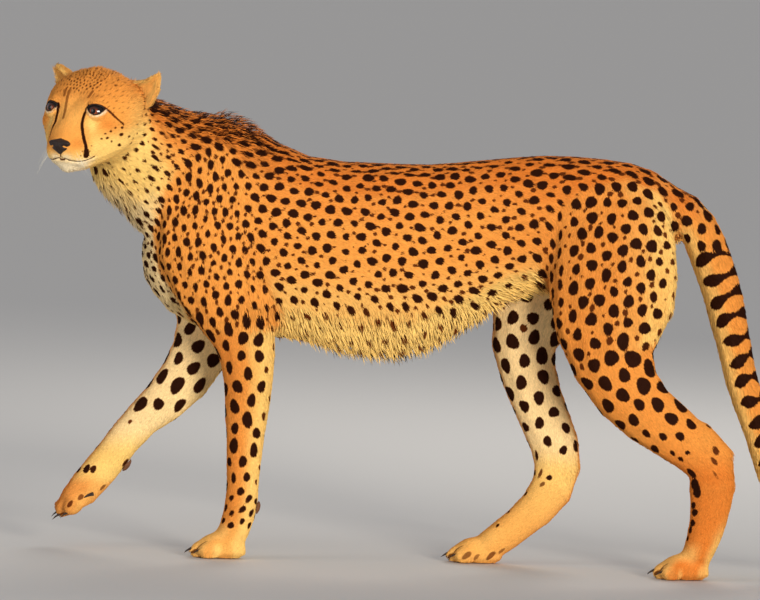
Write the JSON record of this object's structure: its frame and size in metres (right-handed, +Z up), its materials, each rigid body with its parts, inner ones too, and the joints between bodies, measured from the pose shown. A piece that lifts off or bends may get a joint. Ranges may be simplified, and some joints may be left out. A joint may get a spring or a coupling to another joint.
{
  "type": "life-size cheetah figure",
  "caption": "Adult cheetah standing in a slow walk, right forepaw lifted, head turned to its left, with a short spotted coat, belly fringe and ringed tail.",
  "frame": {"origin": "middle of the bounding box, at floor level", "axes": "+Z up, +X towards the tail, so the animal faces -X; -Y is its left side"},
  "size_m": [1.407, 0.3268, 0.8313],
  "materials": {
    "coat": "short dense fur, golden with dark spots, cream below",
    "eye": "wet amber iris and black pupil under a clear cornea",
    "nose": "moist pebbled skin",
    "claw": "worn horn",
    "pad": "thick cracked skin of the paw pads",
    "whisker": "stiff pale hair"
  },
  "bodies": {
    "root": {"claw_fore_left_1": "claw", "claw_fore_left_2": "claw", "claw_fore_left_3": "claw", "claw_fore_left_4": "claw", "claw_fore_right_1": "claw", "claw_fore_right_2": "claw", "claw_fore_right_3": "claw", "claw_fore_right_4": "claw", "claw_hind_left_1": "claw", "claw_hind_left_2": "claw", "claw_hind_left_3": "claw", "claw_hind_left_4": "claw", "claw_hind_right_1": "claw", "claw_hind_right_2": "claw", "claw_hind_right_3": "claw", "claw_hind_right_4": "claw", "dew_claw_left": "claw", "dew_claw_right": "claw", "ear_left": "coat", "ear_right": "coat", "eye_left": "eye", "eye_right": "eye", "forearm_left": "coat", "forearm_right": "coat", "forepaw_left": "coat", "forepaw_right": "coat", "head": "coat", "hind_foot_left": "coat", "hind_foot_right": "coat", "neck": "coat", "nose": "nose", "shank_left": "coat", "shank_right": "coat", "tail_base": "coat", "tail_middle": "coat", "tail_tip": "coat", "thigh_left": "coat", "thigh_right": "coat", "trunk": "coat", "upper_arm_left": "coat", "upper_arm_right": "coat", "wrist_pad_left": "pad", "wrist_pad_right": "pad"}
  },
  "joints": []
}
